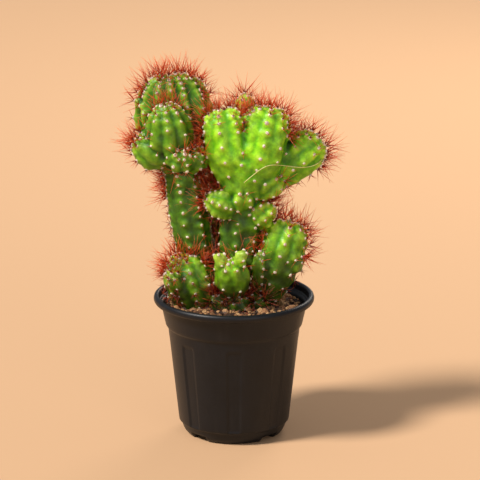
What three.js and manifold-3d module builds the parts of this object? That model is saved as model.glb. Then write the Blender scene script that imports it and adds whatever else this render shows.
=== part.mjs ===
// A monstrose column cactus in a black nursery pot: five knobbly ribbed stems and a small
// front offset growing from one root crown, set in gritty soil with loose gravel on top.
// Units are millimetres, +Z is up, and the origin is the centre of the pot's underside.
// The viewer's side is -Y, so +X is to the right.
import * as THREE from "three";
import { mergeVertices } from "three/addons/utils/BufferGeometryUtils.js";
import Module from "manifold-3d";

const wasm = await Module();
wasm.setup();

// ---- Driving dimensions ---------------------------------------------------------------

const POT_HEIGHT = 97.5;
const RIM_RADIUS = 55;
const BASE_RADIUS = 33;
const FLUTES = 8;
const FLUTE_DEPTH = 0.7;
const FLUTE_BOTTOM = 9.5;
const FLUTE_TOP = 69;
const NOTCHES = 4;
const NOTCH_HEIGHT = 2.6;
const SOIL_TOP = 88.5;
const FIT_GAP = 0.35;
const SPINE_LENGTH = 11;
const SPINE_RADIUS = 0.4;
const UP = new THREE.Vector3(0, 1, 0);

// ---- Materials ------------------------------------------------------------------------

const material = (color, roughness) =>
  new THREE.MeshStandardMaterial({ color, roughness, metalness: 0 });

const BLACK_PLASTIC = material(0x1f1c1a, 0.45);
const GREEN_SKIN = material(0x6fa52a, 0.5);
const WOODY_CROWN = material(0x4d4a26, 0.8);
const SOIL_MIX = material(0x4a3626, 0.95);
const PUMICE = material(0xb08a63, 0.9);
const RED_SPINE = material(0xa03c1c, 0.6);

// ---- Solids ---------------------------------------------------------------------------

function toSolid(geometry) {
  const bare = geometry.clone();
  bare.deleteAttribute("normal");
  bare.deleteAttribute("uv");
  const merged = mergeVertices(bare, 1e-3);
  return new wasm.Manifold(
    new wasm.Mesh({
      numProp: 3,
      vertProperties: merged.attributes.position.array,
      triVerts: new Uint32Array(merged.index.array),
    }),
  );
}

function toGeometry(solid) {
  const mesh = solid.getMesh();
  return new THREE.BufferGeometry()
    .setAttribute("position", new THREE.BufferAttribute(mesh.vertProperties, 3))
    .setIndex(new THREE.BufferAttribute(mesh.triVerts, 1));
}

const joined = (solids) => solids.reduce((whole, next) => whole.add(next));

// The largest body of a cut solid, without the slivers that a cut leaves beside it.
const largest = (solid) =>
  solid.decompose().reduce((best, next) => (next.volume() > best.volume() ? next : best));

// ---- Stem lobes -----------------------------------------------------------------------
// A stem is a union of lobes. A lobe is a ribbed club that runs from its foot, inside the
// stem that it grew from, to its growing tip. wide and deep are its half sizes across, neck
// is how narrow its foot is, and crest says how broad its tip is: 2 closes to a point, and
// 4 or more spreads the tip into a line. across is the direction of its wide side.

const clamp01 = (x) => Math.min(1, Math.max(0, x));
const smooth = (x) => x * x * (3 - 2 * x);

// The angles that divide an ellipse of half axes a and b into n equal lengths.
function equalAngles(a, b, n) {
  const steps = 360;
  const lengths = [0];
  for (let i = 1; i <= steps; i++) {
    const angle = (2 * Math.PI * (i - 0.5)) / steps;
    lengths.push(lengths[i - 1] + Math.hypot(a * Math.sin(angle), b * Math.cos(angle)));
  }
  const angles = [];
  for (let k = 0, i = 0; k < n; k++) {
    const wanted = (k / n) * lengths[steps];
    while (lengths[i + 1] < wanted) i++;
    const part = (wanted - lengths[i]) / (lengths[i + 1] - lengths[i]);
    angles.push((2 * Math.PI * (i + part)) / steps);
  }
  return angles;
}

function lobeFrame({ foot, tip, across = [1, 0, 0] }) {
  const start = new THREE.Vector3(...foot);
  const end = new THREE.Vector3(...tip);
  const along = end.clone().sub(start).normalize();
  const side = new THREE.Vector3(...across);
  side.addScaledVector(along, -along.dot(side)).normalize();
  return { start, end, along, side, front: along.clone().cross(side) };
}

// A point of a lobe's skin. s runs from -1 at the foot to 1 at the tip.
function skinPoint(lobe, s, angle, scale = 1, grow = 0) {
  const { wide, deep = wide, neck = 0.65, crest = 2, thick = 2, bow = [0, 0, 0] } = lobe;
  const { start, end, along, side, front } = lobeFrame(lobe);
  const t = (1 + s) / 2;
  const taper = neck + (1 - neck) * smooth(clamp01(t / 0.6));
  const close = (power) => Math.pow(Math.max(0, 1 - Math.pow(Math.abs(s), power)), 1 / power);
  const a = (wide * taper * scale + grow) * close(crest);
  const b = (deep * taper * scale + grow) * close(thick);
  return start
    .clone()
    .lerp(end, t)
    .addScaledVector(new THREE.Vector3(...bow), 4 * t * (1 - t))
    .addScaledVector(along, grow * s)
    .addScaledVector(side, a * Math.cos(angle))
    .addScaledVector(front, b * Math.sin(angle));
}

// The solid of a lobe, with one line of vertices on each rib and one in each groove.
function lobeSolid(lobe, grow = 0) {
  const { wide, deep = wide, ribs = 8, groove = 0.16, rings = 9 } = lobe;
  const columns = 2 * ribs;
  const angles = equalAngles(wide, deep, columns);
  const geometry = new THREE.SphereGeometry(1, columns, rings);
  const position = geometry.getAttribute("position");
  for (let i = 0; i < position.count; i++) {
    const turn = Math.atan2(position.getZ(i), -position.getX(i)) / (2 * Math.PI);
    const column = ((Math.round(turn * columns) % columns) + columns) % columns;
    const depth = column % 2 ? 1 - groove : 1;
    const p = skinPoint(lobe, position.getY(i), angles[column], depth, grow);
    position.setXYZ(i, p.x, p.y, p.z);
  }
  return toSolid(geometry);
}

const stemSolid = (lobes, grow = 0) => joined(lobes.map((lobe) => lobeSolid(lobe, grow)));

// ---- The stems ------------------------------------------------------------------------

const STEMS = {
  // The middle column, which divides into two broad heads and a third to the right.
  centre_stem: {
    trunk: {
      foot: [1, 5, 84], tip: [7, 3, 192], wide: 15, deep: 13.5, ribs: 7, crest: 6, thick: 6, neck: 0.8,
      groove: 0.08,
    },
    left_head: {
      foot: [3, -2, 160], tip: [-9, -7, 227], wide: 16, deep: 14, ribs: 7, crest: 3.4, neck: 0.42,
      groove: 0.1,
    },
    right_head: {
      foot: [8, -2, 158], tip: [24.5, -6, 228], wide: 18, deep: 14.5, ribs: 8, crest: 3.4, neck: 0.5,
      groove: 0.1,
    },
    web: {
      foot: [8, 0, 156], tip: [8, -7, 206], wide: 20, deep: 13, ribs: 7, crest: 4, neck: 0.6, groove: 0.05,
    },
    far_head: {
      foot: [16, 4, 172], tip: [58, 3, 203], wide: 16, deep: 13, ribs: 7, crest: 2.8, neck: 0.6,
      across: [0, 0, 1],
    },
    under_head: { foot: [10, 0, 166], tip: [32, -4, 181], wide: 11, ribs: 6 },
    right_knob: {
      foot: [8, 0, 148], tip: [26, -4, 160], wide: 10.5, deep: 8.5, ribs: 6, neck: 0.9, across: [0, 0, 1],
    },
    left_knob: { foot: [2, -2, 156], tip: [-19, -7, 166], wide: 9.5, ribs: 6, neck: 0.95 },
    middle_knob: { foot: [5, 0, 156], tip: [6, -8, 174], wide: 9.5, ribs: 6, neck: 0.95 },
  },
  // The left column, with a broad crested head behind and three heads in front of it.
  left_stem: {
    trunk: {
      foot: [-14, 8, 84], tip: [-35, 5, 194], wide: 13, deep: 12.5, ribs: 7, crest: 6, thick: 6, neck: 0.72,
      bow: [-4, 0, 0], groove: 0.08,
    },
    crest_head: {
      foot: [-36, 8, 178], tip: [-43, 11, 247], wide: 27, deep: 12, ribs: 12, crest: 2.7, neck: 0.5,
    },
    front_head: {
      foot: [-40, 2, 180], tip: [-45, -9, 231], wide: 17, deep: 14, ribs: 8, crest: 2.2, neck: 0.6,
    },
    side_head: {
      foot: [-36, 3, 190], tip: [-66, -3, 205], wide: 15.5, deep: 13, ribs: 7, neck: 0.7, across: [0, 0, 1],
    },
    low_knob: { foot: [-36, -2, 188], tip: [-35, -17, 199], wide: 10.5, ribs: 6 },
    inner_knob: { foot: [-32, 0, 184], tip: [-22, -9, 200], wide: 9.5, ribs: 6 },
  },
  // A plain column behind the others: its small pale tip stands up between the heads.
  back_stem: {
    trunk: { foot: [6, 20, 84], tip: [7, 18, 222], wide: 11, ribs: 7, crest: 5, thick: 5, neck: 0.9 },
    tip_head: { foot: [8, 18, 196], tip: [7.5, 16, 232], wide: 9, ribs: 7 },
    side_head: { foot: [4, 20, 140], tip: [-15, 25, 197], wide: 11.5, deep: 10.5, ribs: 7 },
    low_side: { foot: [3, 20, 98], tip: [-14, 25, 152], wide: 11, ribs: 6 },
    low_head: { foot: [8, 22, 98], tip: [25, 30, 132], wide: 11, ribs: 7 },
  },
  // The short arm at the right, a club with a crested top.
  right_stem: {
    arm: {
      foot: [15, 3, 82], tip: [39, -1, 148], wide: 17, deep: 13, ribs: 8, crest: 3.2, neck: 0.55,
    },
    low_bulge: { foot: [32, 0, 112], tip: [46, -2, 125], wide: 9, ribs: 6 },
    sprout: { foot: [15, -2, 96], tip: [17, -9, 128], wide: 6, ribs: 5 },
  },
  // The round offset at the front left, half sunk in the soil.
  left_offset: {
    globe: {
      foot: [-24, 3, 80], tip: [-34, -2, 125], wide: 17, deep: 15, ribs: 9, crest: 2.6, neck: 0.8,
    },
    side_knob: { foot: [-36, -2, 98], tip: [-43, -13, 116], wide: 8, ribs: 6 },
  },
  // The small bright offset at the front, with two ears beside its sunken tip.
  front_offset: {
    globe: {
      foot: [0, -5, 98], tip: [-2, -18, 124], wide: 12, deep: 11, ribs: 6, crest: 2.2, neck: 0.75,
    },
    right_ear: { foot: [0, -12, 110], tip: [6, -19, 132], wide: 4.4, ribs: 5 },
    left_ear: { foot: [-4, -12, 110], tip: [-11, -18, 130], wide: 4.2, ribs: 5 },
  },
};

// Old woody growth around the foot of the plant, most of it under the soil.
const CROWN = {
  heart: { foot: [1, 8, 62], tip: [1, 6, 92], wide: 24, deep: 17, ribs: 9, crest: 3, groove: 0.1 },
  left_lump: { foot: [-10, 0, 78], tip: [-13, -7, 99], wide: 9, ribs: 6 },
  front_lump: { foot: [2, -2, 78], tip: [3, -10, 98], wide: 9.5, ribs: 6 },
  right_lump: { foot: [14, 0, 78], tip: [17, -6, 97], wide: 8, ribs: 6 },
};

const names = Object.keys(STEMS);
const lobesOf = (name) => Object.values(STEMS[name]);
const allLobes = names.flatMap(lobesOf);

// Each stem gives way to the ones listed before it.
const stems = {};
names.forEach((name, i) => {
  const before = names.slice(0, i).flatMap(lobesOf);
  const whole = stemSolid(lobesOf(name));
  stems[name] = before.length ? largest(whole.subtract(stemSolid(before, FIT_GAP))) : whole;
});
const stemsWithGap = stemSolid(allLobes, FIT_GAP);
const crown = largest(stemSolid(Object.values(CROWN)).subtract(stemsWithGap));
const plantWithGap = stemsWithGap.add(stemSolid(Object.values(CROWN), FIT_GAP));

// ---- Pot ------------------------------------------------------------------------------
// One moulding: a rolled rim, a plain band, a tapered body with eight shallow flutes, and a
// foot with four notches over the drain slots. Its section runs up the outside and down the
// inside.

const INNER_BODY = [
  [51.4, 96.6],
  [51.2, 92.4],
  [49.4, 91],
  [47.6, 85.4],
  [46, 77.6],
  [44, 73],
];
const POT_SECTION = [
  [0, 0],
  [BASE_RADIUS - 3, 0],
  [BASE_RADIUS, 0.3],
  [34.9, 2.4],
  [36.6, 8],
  [37.9, 9.2],
  [38, FLUTE_BOTTOM],
  [38.2, FLUTE_BOTTOM + 1.4],
  [44.4, FLUTE_TOP - 1.4],
  [44.6, FLUTE_TOP],
  [45.1, 73],
  [47.2, 77.3],
  [48.8, 85.2],
  [50.6, 91.4],
  [51.6, 92.6],
  [54.2, 92.9],
  [RIM_RADIUS, 94],
  [RIM_RADIUS, 96],
  [54, POT_HEIGHT - 0.3],
  [52.6, POT_HEIGHT],
  ...INNER_BODY,
  [43.4, FLUTE_TOP],
  [43.2, FLUTE_TOP - 1.4],
  [37, FLUTE_BOTTOM + 1.4],
  [36.8, FLUTE_BOTTOM],
  [35.4, 8.4],
  [33.6, 3.2],
  [32, 1.5],
  [0, 1.5],
];
const SECTOR = 360 / FLUTES;
// Where the rings' columns stand in each flute's sector, in degrees from the flute's middle.
const COLUMNS = [-7.4, -6, 6, 7.4, 22.5];

function potGeometry() {
  const columns = FLUTES * COLUMNS.length;
  const section = POT_SECTION.map(([r, z]) => new THREE.Vector2(r, z));
  const geometry = new THREE.LatheGeometry(section, columns);
  const position = geometry.getAttribute("position");
  for (let i = 0; i < position.count; i++) {
    const radius = Math.hypot(position.getX(i), position.getZ(i));
    const height = position.getY(i);
    const column = Math.floor(i / section.length) % columns;
    const own = COLUMNS[column % COLUMNS.length];
    const angle = THREE.MathUtils.degToRad(SECTOR * Math.floor(column / COLUMNS.length) + own);
    const fluted = Math.abs(own) <= 6 && height > FLUTE_BOTTOM + 1 && height < FLUTE_TOP - 1;
    const r = radius - (fluted ? FLUTE_DEPTH : 0);
    position.setXYZ(i, r * Math.sin(angle), -r * Math.cos(angle), height);
  }
  return geometry;
}

// A slot through the pot's floor that runs out under the foot.
function drainNotch(k) {
  const slot = new THREE.BoxGeometry(9, 9, 2 * NOTCH_HEIGHT);
  slot.translate(0, -(BASE_RADIUS - 3.2), 0);
  slot.rotateZ(THREE.MathUtils.degToRad(45 + (360 * k) / NOTCHES));
  return toSolid(slot);
}

const notches = joined(Array.from({ length: NOTCHES }, (_, k) => drainNotch(k)));
const pot = toSolid(potGeometry()).subtract(notches);

// ---- Soil and gravel ------------------------------------------------------------------

// Fills the pot to just under the rim's ledge, a fit gap inside its wall, a little higher
// around the plant.
function soilGeometry() {
  const wall = [
    [0, 2.6],
    [26.6, 2.6],
    [32.6, 5.4],
    [34.2, 8.8],
    [35.6, FLUTE_BOTTOM + 1],
    [41.7, FLUTE_TOP - 2],
    [43, 73.6],
    [45, 78],
    [47.3, SOIL_TOP - 1],
  ];
  const surface = [
    [46, SOIL_TOP - 0.4],
    [36, SOIL_TOP],
    [22, SOIL_TOP + 0.8],
    [0, SOIL_TOP + 1],
  ];
  const section = [...wall, ...surface].map(([r, z]) => new THREE.Vector2(r, z));
  return new THREE.LatheGeometry(section, 32).rotateX(Math.PI / 2);
}

const soil = largest(toSolid(soilGeometry()).subtract(plantWithGap));

// Loose pumice stones on the soil: where each lies, as an angle from the right and a
// distance from the axis, and its size.
const STONES = [
  [158, 42.5, 3.4],
  [-142, 42, 2.6],
  [-112, 36, 2.4],
  [-72, 37, 2.6],
  [-46, 39, 2.4],
  [-14, 41, 3.2],
  [28, 40, 2.8],
  [74, 41, 3],
  [122, 41, 2.6],
];

function stoneGeometry([angle, distance, size], k) {
  const stone = new THREE.IcosahedronGeometry(1, 1);
  const position = stone.getAttribute("position");
  for (let i = 0; i < position.count; i++) {
    const [x, y, z] = [position.getX(i), position.getY(i), position.getZ(i)];
    const dent = 1 + 0.16 * Math.sin(3 * x + 2 * k) * Math.cos(4 * y - k) + 0.1 * Math.sin(5 * z + k);
    position.setXYZ(i, x * dent, y * dent * 0.78, z * dent * 0.6);
  }
  stone.scale(size, size, size);
  stone.rotateZ(k * 1.3);
  const turn = THREE.MathUtils.degToRad(angle);
  stone.computeBoundingBox();
  const lift = SOIL_TOP + FIT_GAP + 0.3 - stone.boundingBox.min.z;
  return stone.translate(distance * Math.cos(turn), distance * Math.sin(turn), lift);
}

// ---- Spines at the growing tips -------------------------------------------------------
// Each growing tip carries a pad of wool with a burst of long spines. A broad tip has
// several pads in a row along its crest, grown into one strip.

const TUFTS = {
  left_crest: [STEMS.left_stem.crest_head, 4],
  left_front: [STEMS.left_stem.front_head, 1],
  left_side: [STEMS.left_stem.side_head, 1],
  centre_left: [STEMS.centre_stem.left_head, 2],
  centre_right: [STEMS.centre_stem.right_head, 2],
  centre_far: [STEMS.centre_stem.far_head, 2],
  centre_knob: [STEMS.centre_stem.right_knob, 1],
  back_tip: [STEMS.back_stem.tip_head, 1],
  back_side: [STEMS.back_stem.side_head, 1],
  back_low: [STEMS.back_stem.low_head, 1],
  right_arm: [STEMS.right_stem.arm, 2],
  left_offset: [STEMS.left_offset.globe, 2],
};
const SPINES_PER_PAD = 5;
const SPREAD = 0.75;
const PAD = { reach: 2.6, height: 1.9 };
const GOLDEN = Math.PI * (3 - Math.sqrt(5));

function spineSolid(root, direction, length) {
  const spine = new THREE.ConeGeometry(SPINE_RADIUS, length, 3, 1);
  spine.translate(0, length / 2, 0);
  spine.applyQuaternion(new THREE.Quaternion().setFromUnitVectors(UP, direction));
  return toSolid(spine.translate(root.x, root.y, root.z));
}

function tuftSolid(lobe, pads) {
  const { start, end, along, side, front } = lobeFrame(lobe);
  const half = lobe.wide * 0.42;
  const places = Array.from({ length: pads }, (_, k) => (pads > 1 ? (2 * k) / (pads - 1) - 1 : 0));
  const spines = places.flatMap((place, k) => {
    const drop = 0.14 * place * place * start.distanceTo(end) * (pads > 1 ? 0.5 : 0);
    const root = end.clone().addScaledVector(side, half * place).addScaledVector(along, 0.9 - drop);
    const lean = along.clone().addScaledVector(side, 0.6 * place).normalize();
    return Array.from({ length: SPINES_PER_PAD }, (_, i) => {
      const reach = SPREAD * Math.sqrt((i + 0.5) / SPINES_PER_PAD);
      const direction = lean
        .clone()
        .addScaledVector(side, reach * Math.cos(i * GOLDEN + k))
        .addScaledVector(front, reach * Math.sin(i * GOLDEN + k))
        .normalize();
      return spineSolid(root, direction, SPINE_LENGTH * (1 - 0.25 * reach));
    });
  });
  const pad = new THREE.SphereGeometry(1, 8, 4);
  const long = pads > 1 ? half + PAD.reach : PAD.reach;
  pad.applyMatrix4(new THREE.Matrix4().makeBasis(
    side.clone().multiplyScalar(long),
    along.clone().multiplyScalar(PAD.height),
    front.clone().multiplyScalar(-PAD.reach),
  ));
  pad.translate(end.x, end.y, end.z);
  return largest(joined([toSolid(pad), ...spines]).subtract(plantWithGap));
}

// ---- Assembly -------------------------------------------------------------------------

const group = new THREE.Group();

function addPart(name, geometry, finish) {
  const mesh = new THREE.Mesh(geometry, finish);
  mesh.name = name;
  group.add(mesh);
}

addPart("pot", toGeometry(pot), BLACK_PLASTIC);
addPart("soil_mix", toGeometry(soil), SOIL_MIX);
addPart("root_crown", toGeometry(crown), WOODY_CROWN);
for (const name of names) addPart(name, toGeometry(stems[name]), GREEN_SKIN);
for (const [name, [lobe, rows]] of Object.entries(TUFTS)) {
  addPart(`spines_${name}`, toGeometry(tuftSolid(lobe, rows)), RED_SPINE);
}
STONES.forEach((stone, k) => addPart(`gravel_stone_${k + 1}`, stoneGeometry(stone, k), PUMICE));

export default group;
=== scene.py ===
"""A monstrose column cactus in a black nursery pot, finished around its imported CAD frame."""

import math
import random

import bmesh
import bpy
import numpy as np
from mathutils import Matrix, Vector, kdtree, noise
from mathutils.bvhtree import BVHTree


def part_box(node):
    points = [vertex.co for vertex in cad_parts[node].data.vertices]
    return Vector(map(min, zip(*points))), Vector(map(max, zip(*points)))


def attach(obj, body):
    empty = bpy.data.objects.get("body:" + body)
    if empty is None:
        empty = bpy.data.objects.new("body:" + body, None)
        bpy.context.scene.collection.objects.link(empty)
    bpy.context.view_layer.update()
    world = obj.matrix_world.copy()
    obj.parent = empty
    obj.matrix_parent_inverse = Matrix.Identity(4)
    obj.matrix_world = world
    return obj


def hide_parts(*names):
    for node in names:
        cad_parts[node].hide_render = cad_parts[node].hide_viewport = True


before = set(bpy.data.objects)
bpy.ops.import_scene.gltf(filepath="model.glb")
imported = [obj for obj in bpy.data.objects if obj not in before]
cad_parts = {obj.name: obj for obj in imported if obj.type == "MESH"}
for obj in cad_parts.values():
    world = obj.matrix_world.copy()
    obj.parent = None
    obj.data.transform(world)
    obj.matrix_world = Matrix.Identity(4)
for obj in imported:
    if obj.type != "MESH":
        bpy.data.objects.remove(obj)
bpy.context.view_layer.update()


# ---- Pot ------------------------------------------------------------------------------
# The nursery pot is one thin injection moulding in black polypropylene. It has a rolled rim,
# a plain band under it, a tapered body with eight shallow flutes, and a notched foot. The
# mould leaves it satin outside, with a fine grain and a faint bloom of dust.

MM = 0.001
pot_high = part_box("pot")[1] / MM
RIM_RADIUS = 55.0
FLUTES = 8
FLUTE_PITCH = math.tau / FLUTES
FLUTE_HALF_TURN = math.radians(7)
FLUTE_DEPTH = 0.8
FLUTE_BOTTOM = 9.2
FLUTE_TOP = 69.4
FLUTE_CORNER = 3.0
FLUTE_SLOPE = 0.9
FLUTE_RUNOUT = 1.2
NOTCH_PITCH = math.pi / 2
NOTCH_RADIUS = 26.0
NOTCH_HALF_TURN = math.radians(12)
NOTCH_HEIGHT = 2.4
NOTCH_FADE = 2.2
POT_COLUMNS = 320
POT_STEP = 1.6

POT_CORNERS = [
    (0, 0), (30.5, 0), (32.6, 0.5), (34.2, 2.2), (35.2, 4.2), (36.5, 8.0), (36.9, 8.7), (37.9, 9.1),
    (38.1, 9.8), (38.3, 11), (44.5, 68), (44.75, 70.5), (45.1, 74), (45.35, 75.6), (46.5, 76.6),
    (46.95, 77.4), (48.6, 84.8), (49.9, 90.6), (50.5, 91.9), (51.4, 92.6), (53.2, 92.4), (54.3, 92.9),
    (54.9, 94.0), (55.0, 95.2), (54.6, 96.5), (53.7, 97.3), (52.7, 97.5), (51.8, 97.1), (51.35, 96.3),
    (51.25, 92.6), (50.9, 91.6), (50.2, 91.2), (49.2, 90.8), (48.6, 89.8), (47.5, 85.4), (46, 77.6),
    (44, 73), (43.3, 68), (37, 11), (35.4, 8.6), (33.4, 3.4), (31.8, 1.7), (0, 1.5),
]


def linear(hex_colour):
    """An sRGB hex colour as linear red, green, blue and alpha."""
    shares = [int(hex_colour[i : i + 2], 16) / 255 for i in (1, 3, 5)]
    return (*[c / 12.92 if c <= 0.04045 else ((c + 0.055) / 1.055) ** 2.4 for c in shares], 1.0)


def add(material, kind, inputs=(), stops=(), **settings):
    """Adds a node with its settings. An input is a constant or another node's output."""
    new = material.node_tree.nodes.new("ShaderNode" + kind)
    for name, value in settings.items():
        setattr(new, name, value)
    for k, (position, colour) in enumerate(stops):
        ramp = new.color_ramp.elements
        stop = ramp[k] if k < len(ramp) else ramp.new(position)
        stop.position = position
        stop.color = linear(colour) if isinstance(colour, str) else (colour, colour, colour, 1)
    for socket, value in dict(inputs).items():
        if isinstance(value, bpy.types.NodeSocket):
            material.node_tree.links.new(value, new.inputs[socket])
        else:
            new.inputs[socket].default_value = value
    return new


def blank(name):
    """A new material with only a surface shader."""
    material = bpy.data.materials.new(name)
    material.use_nodes = True
    return material, material.node_tree.nodes["Principled BSDF"]


def link(material, output, socket):
    """Joins a node's output to another node's socket."""
    material.node_tree.links.new(output, socket)


def polypropylene():
    """Moulded black polypropylene: a satin skin with a fine grain, and a little pale dust."""
    material, shader = blank("moulded black polypropylene")
    place = add(material, "TexCoord").outputs["Object"]
    grain = add(material, "TexNoise", {"Vector": place, "Scale": 1400.0, "Detail": 2.0})
    wear = add(material, "TexNoise", {"Vector": place, "Scale": 60.0, "Detail": 6.0, "Roughness": 0.65})
    streak_place = add(material, "Mapping", {"Vector": place, "Scale": (90.0, 90.0, 9.0)})
    streaks = add(material, "TexNoise", {"Vector": streak_place.outputs[0], "Scale": 2.0, "Detail": 4.0})
    colour = add(material, "ValToRGB", {"Fac": wear.outputs["Fac"]},
                 stops=[(0.3, "#0c0e12"), (0.75, "#14161a")])
    dust = add(material, "ValToRGB", {"Fac": streaks.outputs["Fac"]}, stops=[(0.55, 0.0), (0.8, 0.04)])
    mixed = add(material, "Mix", {"Factor": dust.outputs["Color"], 6: colour.outputs["Color"],
                                  7: linear("#5d564e")}, data_type="RGBA")
    link(material, mixed.outputs[2], shader.inputs["Base Color"])
    gloss = add(material, "MapRange", {"Value": wear.outputs["Fac"], "To Min": 0.34, "To Max": 0.5})
    link(material, gloss.outputs[0], shader.inputs["Roughness"])
    bump = add(material, "Bump", {"Height": grain.outputs["Fac"], "Strength": 0.12, "Distance": 0.0001})
    link(material, bump.outputs[0], shader.inputs["Normal"])
    shader.inputs["IOR"].default_value = 1.49
    shader.inputs["Specular IOR Level"].default_value = 0.32
    return material


def smooth(x):
    """0 below 0, 1 above 1, and an S-curve between them."""
    x = np.clip(x, 0, 1)
    return x * x * (3 - 2 * x)


def finer(corners, step):
    """The corners of a section with more points between them, no further apart than step."""
    points = [corners[0]]
    for (r0, z0), (r1, z1) in zip(corners, corners[1:]):
        parts = max(1, math.ceil(math.hypot(r1 - r0, z1 - z0) / step))
        points += [(r0 + (r1 - r0) * k / parts, z0 + (z1 - z0) * k / parts) for k in range(1, parts + 1)]
    return points


def spun(section, columns):
    """A bmesh of a section turned about the Z axis, closed at the axis."""
    bm = bmesh.new()
    points = [bm.verts.new((r, 0, z)) for r, z in section]
    edges = [bm.edges.new(pair) for pair in zip(points, points[1:])]
    bmesh.ops.spin(bm, geom=points + edges, cent=(0, 0, 0), axis=(0, 0, 1), angle=math.tau,
                   steps=columns, use_merge=True)
    bmesh.ops.remove_doubles(bm, verts=bm.verts, dist=1e-4)
    bmesh.ops.recalc_face_normals(bm, faces=bm.faces)
    return bm


def piece(name, bm, material, slot, *nodes):
    """Makes a bmesh in millimetres a piece of the object that stands for the CAD nodes."""
    bmesh.ops.scale(bm, vec=(MM, MM, MM), verts=bm.verts)
    mesh = bpy.data.meshes.new(name)
    bm.to_mesh(mesh)
    bm.free()
    mesh.shade_smooth()
    mesh.materials.append(material)
    made = bpy.data.objects.new(name, mesh)
    bpy.context.scene.collection.objects.link(made)
    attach(made, "root")
    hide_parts(*nodes)
    return made


pot_section = [(r * pot_high.x / RIM_RADIUS, z) for r, z in POT_CORNERS]
pot_mesh = spun(finer(pot_section, POT_STEP), POT_COLUMNS)
for vertex in pot_mesh.verts:
    r = math.hypot(vertex.co.x, vertex.co.y)
    if r < 1:
        continue
    turn = math.atan2(vertex.co.x, -vertex.co.y)
    across = abs((turn + FLUTE_PITCH / 2) % FLUTE_PITCH - FLUTE_PITCH / 2) * r
    half = FLUTE_HALF_TURN * r
    beyond = Vector((max(0, across - half + FLUTE_CORNER), max(0, vertex.co.z - FLUTE_TOP + FLUTE_CORNER)))
    inside = FLUTE_CORNER - beyond.length
    depth = FLUTE_DEPTH * float(smooth(inside / FLUTE_SLOPE))
    depth *= float(smooth((vertex.co.z - FLUTE_BOTTOM) / FLUTE_RUNOUT))
    between = abs((turn + NOTCH_PITCH / 2) % NOTCH_PITCH - NOTCH_PITCH / 2)
    open_foot = float(smooth((r - NOTCH_RADIUS) / 2))
    open_foot *= float(smooth((between - NOTCH_PITCH / 2 + NOTCH_HALF_TURN) / 0.05))
    lift = NOTCH_HEIGHT * open_foot
    lift *= float(smooth((NOTCH_HEIGHT + NOTCH_FADE - vertex.co.z) / NOTCH_FADE))
    vertex.co.x *= (r - depth) / r
    vertex.co.y *= (r - depth) / r
    vertex.co.z += lift
piece("nursery_pot", pot_mesh, polypropylene(), "black_polypropylene", "pot")


# ---- Soil -----------------------------------------------------------------------------
# The pot is full of a gritty cactus mix to a finger's width under the rim: dark composted
# bark with pumice, tan lava and quartz grit. The top has dried out, so the loose grains
# show, and it rises a little round the plant.

SOIL_MOUND = 1.5
SOIL_HEADROOM = 1.2
SOIL_TOP = (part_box("soil_mix")[1] / MM).z - SOIL_HEADROOM
SOIL_FACE_FROM = 88.2
SOIL_COLUMNS = 160
SOIL_STEP = 1.3
SOIL_CORNERS = [
    (0, 2.6), (26.6, 2.6), (32.6, 5.4), (34.2, 8.8), (35.6, 10.5), (42.0, 67), (43.2, 73.6),
    (45.2, 78), (48.0, 88), (46.8, 88.5), (0, 88.5),
]


def soil_height(x, y):
    """The height of the soil's surface, which is lumpy and mounded towards the plant."""
    mound = SOIL_MOUND * math.exp(-((x / 26) ** 2 + (y / 24) ** 2))
    lumps = 0.9 * noise.noise(Vector((x / 7, y / 7, 3))) + 0.5 * noise.noise(Vector((x / 2.5, y / 2.5, 9)))
    return SOIL_TOP + mound + lumps


def cactus_mix():
    """Composted bark and grit: near black where damp, brown where dry, with tan specks."""
    material, shader = blank("dry gritty cactus mix")
    place = add(material, "TexCoord").outputs["Object"]
    crumbs = add(material, "TexVoronoi", {"Vector": place, "Scale": 700.0})
    damp = add(material, "TexNoise", {"Vector": place, "Scale": 90.0, "Detail": 5.0})
    colour = add(material, "ValToRGB", {"Fac": crumbs.outputs["Color"]},
                 stops=[(0.1, "#1a110b"), (0.5, "#38261a"), (0.8, "#5a3f2a"), (0.95, "#8a6a4a")])
    dark = add(material, "ValToRGB", {"Fac": damp.outputs["Fac"]},
               stops=[(0.35, "#6b5a4a"), (0.65, "#ffffff")])
    mixed = add(material, "Mix", {"Factor": 0.8, 6: colour.outputs["Color"], 7: dark.outputs["Color"]},
                data_type="RGBA", blend_type="MULTIPLY")
    link(material, mixed.outputs[2], shader.inputs["Base Color"])
    bump = add(material, "Bump", {"Height": crumbs.outputs["Distance"], "Strength": 0.8, "Distance": 0.0012})
    link(material, bump.outputs[0], shader.inputs["Normal"])
    shader.inputs["Roughness"].default_value = 0.95
    return material


soil_mesh = spun(finer(SOIL_CORNERS, SOIL_STEP), SOIL_COLUMNS)
for vertex in soil_mesh.verts:
    if vertex.co.z > SOIL_FACE_FROM:
        vertex.co.z = soil_height(vertex.co.x, vertex.co.y)
piece("soil", soil_mesh, cactus_mix(), "gritty_soil", "soil_mix")


# ---- Stems ----------------------------------------------------------------------------
# A monstrose cereus has no single growing point: its ribs swell into knobs and broad heads
# that each keep growing. A stem is built from lobes, which are ribbed clubs that run from a
# foot inside older growth to a growing tip, and its skin grows over them all.

SKIN_VOXEL = 0.65
CREST_FROM = 2.3
CREST_ROWS = (0, 0.45, -0.45, math.pi, math.pi - 0.45, math.pi + 0.45)
CREST_SPACING = 3.0
BUMP_HEIGHT = 1.5
TUBERCLE_HEIGHT = 1.1
TUBERCLE_SPREAD = 2.3
SITE_REACH = 2.5
# Skin below the first height turns to cork and is painted darker as shade, fading out over the second.
CORK_AND_SHADE_LINE = 90.0
CORK_AND_SHADE_FADE = 75.0


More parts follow.
